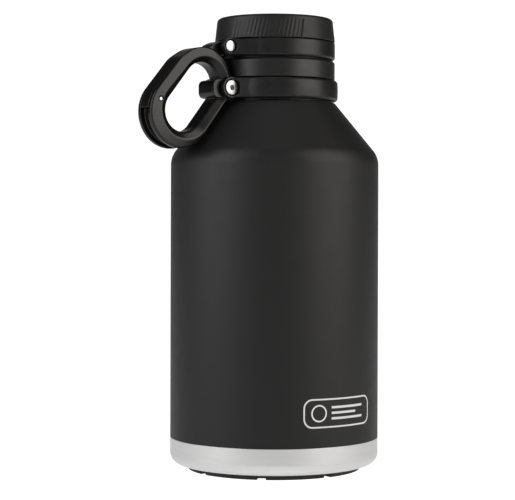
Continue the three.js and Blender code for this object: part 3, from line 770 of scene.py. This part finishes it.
def build_knob():
    side_rows = 18
    edge_z = KNOB_HIGH - KNOB_EDGE
    foot_z = KNOB_LOW + 0.4
    side = [
        (KNOB_RADIUS - KNOB_LEAN * k / side_rows, foot_z + (edge_z - KNOB_LOW - 0.4) * k / side_rows)
        for k in range(side_rows + 1)
    ]
    top_radius = KNOB_RADIUS - KNOB_LEAN - KNOB_EDGE
    turns = [k * math.pi / 20 for k in range(1, 11)]
    edge = [(top_radius + KNOB_EDGE * math.cos(t), edge_z + KNOB_EDGE * math.sin(t)) for t in turns]
    recess = KNOB_HIGH - KNOB_RECESS
    roof = KNOB_HIGH - KNOB_ROOF
    outline = [
        (KNOB_BORE, KNOB_LOW),
        (KNOB_RADIUS - 0.4, KNOB_LOW),
        (KNOB_RADIUS - 0.1, KNOB_LOW + 0.12),
        *side,
        *edge,
        (DISC_RADIUS + 0.7, KNOB_HIGH),
        (DISC_RADIUS + 0.35, KNOB_HIGH - 0.3),
        (DISC_RADIUS + 0.3, recess),
        (0, recess),
        (0, roof),
        (KNOB_BORE, roof),
    ]
    knob = lathe("ribbed_knob", outline, 1440)
    for vertex in knob.data.vertices:
        x, y, z = vertex.co / MM
        radius = math.hypot(x, y)
        if radius > RIBBED_FROM and z > KNOB_LOW - 0.1:
            pressed = rib_depth(math.degrees(math.atan2(y, x)), z)
            vertex.co.x -= x / radius * pressed * MM
            vertex.co.y -= y / radius * pressed * MM
    hand_over(crisp(knob, 50), "cap", KNOB_PLASTIC, "satin_plastic", "cap_knob")

    z = KNOB_HIGH
    disc = lathe("top_disc", rounded([
        (0, z - 1.2, 0),
        (DISC_RADIUS, z - 1.2, 0.1),
        (DISC_RADIUS, z - 0.6, 0.3),
        (DISC_RADIUS - 2.2, z - 0.25, 0.8),
        (DISC_RADIUS - 3.4, z - 0.55, 0.8),
        (0, z - 0.55, 0),
    ]))
    hand_over(crisp(disc), "cap", PLASTIC, "satin_plastic", "cap_disc")


# ---------------------------------------------------------------- printed mark


def wrap(x, z, out):
    """A point of the flat artwork laid on the flask: x along the girth, z up, out above the paint."""
    turn = math.radians(MARK_AZIMUTH) + x / BODY_RADIUS
    radius = BODY_RADIUS + out
    return (radius * math.cos(turn), radius * math.sin(turn), z)


def ribbon(path, width, closed):
    """Points and faces of a thin raised line along a flat path."""
    points, faces = [], []
    count = len(path)
    for k, here in enumerate(path):
        before = path[k - 1] if k or closed else here
        after = path[(k + 1) % count] if k < count - 1 or closed else here
        along = (Vector(after) - Vector(before)).normalized()
        side = Vector((-along.y, along.x)) * width / 2
        for out in (INK_UP, INK_DOWN):
            for sign in (1, -1):
                spot = Vector(here) + side * sign
                points.append(wrap(spot.x, spot.y, out))
    links = count if closed else count - 1
    for k in range(links):
        a, b = 4 * k, 4 * ((k + 1) % count)
        for p, q in ((0, 1), (1, 3), (3, 2), (2, 0)):
            faces.append([a + p, a + q, b + q, b + p])
    if not closed:
        faces += [[0, 1, 3, 2], [4 * count - 4, 4 * count - 3, 4 * count - 1, 4 * count - 2]]
    return points, faces


def line(x0, x1, z, steps=16):
    return [(x0 + (x1 - x0) * k / steps, z) for k in range(steps + 1)]


def build_mark():
    width, height = MARK_SIZE
    left, right = -width / 2, width / 2
    bottom, top = MARK_Z - height / 2, MARK_Z + height / 2
    sides = [(left, bottom), (right, bottom), (right, top), (left, top)]
    frame_path = rounded([(x, z, MARK_CORNER) for x, z in sides], 10)
    dense = []
    for k, here in enumerate(frame_path):
        after = frame_path[(k + 1) % len(frame_path)]
        parts = max(1, round((after - here).length / 1.5))
        dense += [tuple(here.lerp(after, j / parts)) for j in range(parts)]
    ring_x, ring_radius = left + MARK_RING["x"], MARK_RING["radius"]
    turns = [k * math.pi / 24 for k in range(48)]
    ring = [(ring_x + ring_radius * math.cos(t), MARK_Z + ring_radius * math.sin(t)) for t in turns]
    strokes = [(dense, THIN_LINE, True), (ring, THIN_LINE, True)]
    start = left + MARK_BARS["x"]
    for row, length in enumerate(MARK_BARS["lengths"]):
        z = MARK_Z + (1 - row) * MARK_BARS["spacing"]
        strokes.append((line(start, start + length, z), THICK_LINE, False))
    points, faces = [], []
    for path, stroke_width, closed in strokes:
        new_points, new_faces = ribbon(path, stroke_width, closed)
        faces += [[len(points) + index for index in face] for face in new_faces]
        points += new_points
    hand_over(add("printed_mark", points, faces), "flask", INK, "painted_steel")


# ---------------------------------------------------------------- pieces that keep their CAD shape


def dress_hidden_nodes():
    looks = {
        "inner_flask": FLASK_STEEL,
        "threaded_neck": FLASK_STEEL,
        "neck_sleeve": FLASK_STEEL,
        "getter_pellet": PELLET,
        "sealing_disc": BARE_STEEL,
        "cap_plug": INNER_PLASTIC,
        "cap_foam": FOAM,
        "cap_gasket": SILICONE,
    }
    for node, look in looks.items():
        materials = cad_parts[node].data.materials
        materials.clear()
        materials.append(look)


# ---------------------------------------------------------------- studio

CAMERA_AZIMUTH = math.radians(-127)  # where the camera stands, from the +X direction
CAMERA_DISTANCE = 1.0
CAMERA_Z = 0.1498
CAMERA_ROLL = 0.0029
FOCAL_LENGTH = 118.7
SHIFT = (-0.0330, -0.0728)
ROOM_LIGHT = 0.02
WALL_LIGHT = 0.35
WALL_EDGES = (0.75, 0.98)  # cosines between which the wall's light rises
FLOOR_LIGHT = 0.5
WHITE = 1.1
FLOOR_SIZE, FLOOR_DROP = 6.0, 0.0002
FLOOR_TONE = 0.4


def polar(azimuth, distance, z):
    return Vector((distance * math.cos(azimuth), distance * math.sin(azimuth), z))


def aim(thing, target):
    thing.rotation_euler = (Vector(target) - thing.location).to_track_quat("-Z", "Y").to_euler()


def build_camera():
    data = bpy.data.cameras.new("camera")
    data.lens = FOCAL_LENGTH
    data.shift_x, data.shift_y = SHIFT
    data.clip_end = 20
    camera = bpy.data.objects.new("camera", data)
    camera.location = polar(CAMERA_AZIMUTH, CAMERA_DISTANCE, CAMERA_Z)
    aim(camera, (0, 0, CAMERA_Z))
    roll = Quaternion((0, 0, 1), CAMERA_ROLL)
    camera.rotation_euler = (camera.rotation_euler.to_quaternion() @ roll).to_euler()
    bpy.context.scene.collection.objects.link(camera)
    bpy.context.scene.camera = camera


def softbox(name, bearing, distance, z, size, power, target_z, tint=(1, 1, 1)):
    """An area light at a bearing from the camera's direction, in degrees to the image's right. It faces the
    flask's axis at the target height."""
    data = bpy.data.lights.new(name, "AREA")
    data.shape = "RECTANGLE"
    data.size, data.size_y = size
    data.energy = power
    data.color = tint
    light = bpy.data.objects.new(name, data)
    light.location = polar(CAMERA_AZIMUTH + math.radians(bearing), distance, z)
    aim(light, (0, 0, target_z))
    bpy.context.scene.collection.objects.link(light)


def build_floor():
    """White to the camera. To the object it is a grey floor with a soft light of its own."""
    size = FLOOR_SIZE
    corners = [(-size, -size, 0), (size, -size, 0), (size, size, 0), (-size, size, 0)]
    mesh = bpy.data.meshes.new("floor")
    mesh.from_pydata(corners, [], [(0, 1, 2, 3)])
    floor = bpy.data.objects.new("floor", mesh)
    floor.location.z = -FLOOR_DROP
    bpy.context.scene.collection.objects.link(floor)
    look = bpy.data.materials.new("floor_finish")
    look.use_nodes = True
    tree = look.node_tree
    shader = tree.nodes["Principled BSDF"]
    shader.inputs["Base Color"].default_value = (*grey(FLOOR_TONE), 1)
    shader.inputs["Roughness"].default_value = 0.9
    shader.inputs["Specular IOR Level"].default_value = 0
    shader.inputs["Emission Color"].default_value = (1, 1, 1, 1)
    path = tree.nodes.new("ShaderNodeLightPath")
    glow = tree.nodes.new("ShaderNodeMapRange")
    glow.inputs["To Min"].default_value = FLOOR_LIGHT
    glow.inputs["To Max"].default_value = WHITE
    tree.links.new(path.outputs["Is Camera Ray"], glow.inputs["Value"])
    tree.links.new(glow.outputs["Result"], shader.inputs["Emission Strength"])
    mesh.materials.append(look)


def build_world():
    """White to the camera. To the object it is a dim room with a bright wall behind."""
    world = bpy.data.worlds.new("studio")
    world.use_nodes = True
    tree = world.node_tree
    tree.nodes.clear()
    output = tree.nodes.new("ShaderNodeOutputWorld")
    mix = tree.nodes.new("ShaderNodeMixShader")
    path = tree.nodes.new("ShaderNodeLightPath")
    seen = tree.nodes.new("ShaderNodeBackground")
    seen.inputs["Color"].default_value = (1, 1, 1, 1)
    seen.inputs["Strength"].default_value = WHITE
    room = tree.nodes.new("ShaderNodeBackground")
    room.inputs["Color"].default_value = (1, 1, 1, 1)

    place = tree.nodes.new("ShaderNodeTexCoord")
    behind = tree.nodes.new("ShaderNodeVectorMath")
    behind.operation = "DOT_PRODUCT"
    behind.inputs[1].default_value = polar(CAMERA_AZIMUTH, -1, 0)
    wall = tree.nodes.new("ShaderNodeMapRange")
    wall.interpolation_type = "SMOOTHSTEP"
    wall.inputs["From Min"].default_value = WALL_EDGES[0]
    wall.inputs["From Max"].default_value = WALL_EDGES[1]
    wall.inputs["To Min"].default_value = ROOM_LIGHT
    wall.inputs["To Max"].default_value = WALL_LIGHT
    tree.links.new(place.outputs["Generated"], behind.inputs[0])
    tree.links.new(behind.outputs["Value"], wall.inputs["Value"])
    tree.links.new(wall.outputs["Result"], room.inputs["Strength"])

    tree.links.new(path.outputs["Is Camera Ray"], mix.inputs["Fac"])
    tree.links.new(room.outputs["Background"], mix.inputs[1])
    tree.links.new(seen.outputs["Background"], mix.inputs[2])
    tree.links.new(mix.outputs["Shader"], output.inputs["Surface"])
    bpy.context.scene.world = world


def build_studio():
    build_camera()
    build_floor()
    build_world()
    warm = (1, 0.96, 0.92)
    softbox("left_box", -64, distance=1.1, z=0.82, size=(1.0, 1.4), power=10, target_z=0.82)
    softbox("right_box", 64, distance=1.1, z=0.82, size=(1.0, 1.4), power=11.5, target_z=0.82, tint=warm)
    softbox("front_box", 0, distance=1.3, z=0.9, size=(0.9, 0.9), power=1.2, target_z=0.9)
    softbox("top_box", 0, distance=0.3, z=1.7, size=(0.9, 0.9), power=1.4, target_z=0)
    bpy.context.scene.view_settings.view_transform = "Standard"


build_studio()
build_shell()
build_base()
build_foot()
build_collar()
build_bands()
build_fasteners()
build_loop()
build_insert()
build_knob()
build_mark()
dress_hidden_nodes()
